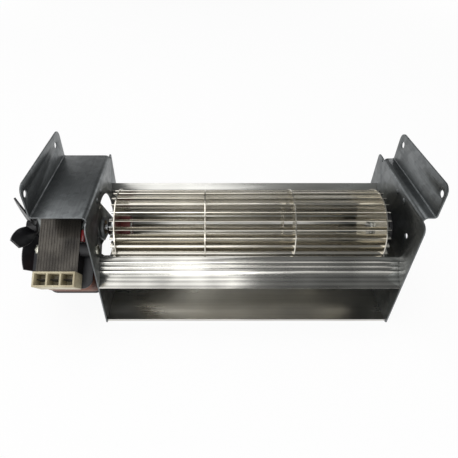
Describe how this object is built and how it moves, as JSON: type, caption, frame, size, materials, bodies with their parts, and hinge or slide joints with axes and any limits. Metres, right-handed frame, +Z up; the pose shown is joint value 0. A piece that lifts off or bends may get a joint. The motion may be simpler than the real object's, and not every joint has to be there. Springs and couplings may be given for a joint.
{
  "type": "cross flow fan",
  "caption": "Cross flow fan: sheet metal duct with a long bladed impeller between end plates, a front deflector and a shaded pole motor beside it.",
  "frame": {"origin": "underside of the duct's flat floor, halfway between the end plates and straight below the impeller's axis", "axes": "+X along the impeller away from the motor, -Y out of the outlet, +Z up from the floor to the impeller"},
  "size_m": [0.2915, 0.1095, 0.123],
  "materials": {
    "galvanised_steel": "hot-dip galvanised sheet, satin with faint spangle",
    "bright_aluminium": "bright extruded aluminium",
    "impeller_aluminium": "mill finish aluminium sheet",
    "ground_steel": "ground steel",
    "sintered_bronze": "oil-filled sintered bronze",
    "black_rubber": "moulded rubber",
    "red_rubber": "moulded silicone rubber",
    "lamination_steel": "stamped lamination edges",
    "zinc_casting": "pressure die-cast zinc",
    "zinc_plate": "bright zinc plate",
    "copper_wire": "enamelled copper wire",
    "coil_tape": "wrapped polyester tape",
    "nylon_black": "moulded glass-filled nylon",
    "nylon_cream": "moulded nylon",
    "fan_plastic": "moulded polypropylene",
    "red_sleeving": "varnished sleeving",
    "tinned_brass": "tinned brass"
  },
  "bodies": {
    "housing": {"left_end_plate": "galvanised_steel", "right_end_plate": "galvanised_steel", "scroll_housing": "galvanised_steel", "front_deflector": "bright_aluminium", "deflector_screws": "zinc_plate", "end_bush": "sintered_bronze", "bearing_mount": "black_rubber", "stator_core": "lamination_steel", "shading_rings": "copper_wire", "coil_yoke": "lamination_steel", "bobbin": "nylon_black", "coil_winding": "copper_wire", "coil_tape": "coil_tape", "connector_housing": "nylon_cream", "contact_tabs": "tinned_brass", "outer_bridge": "zinc_casting", "outer_bush": "sintered_bronze", "inner_bridge": "zinc_casting", "inner_bush": "sintered_bronze", "bridge_screws": "zinc_plate", "bridge_nuts": "zinc_plate", "motor_mount_screws": "zinc_plate", "motor_mount_nuts": "zinc_plate", "motor_grommets": "black_rubber", "lead_sleeving": "red_sleeving"},
    "rotor": {"impeller_blades": "impeller_aluminium", "driven_disc": "impeller_aluminium", "left_ring": "impeller_aluminium", "right_ring": "impeller_aluminium", "free_disc": "impeller_aluminium", "hub_damper": "red_rubber", "hub_sleeve": "ground_steel", "hub_grub_screw": "zinc_plate", "motor_shaft": "ground_steel", "stub_shaft": "ground_steel", "motor_rotor": "lamination_steel", "cooling_fan": "fan_plastic"}
  },
  "joints": [
    {"name": "impeller_spin", "type": "hinge", "parent": "housing", "child": "rotor", "pos_m": [0, 0, 0.06], "axis": [1, 0, 0], "continuous": true}
  ]
}
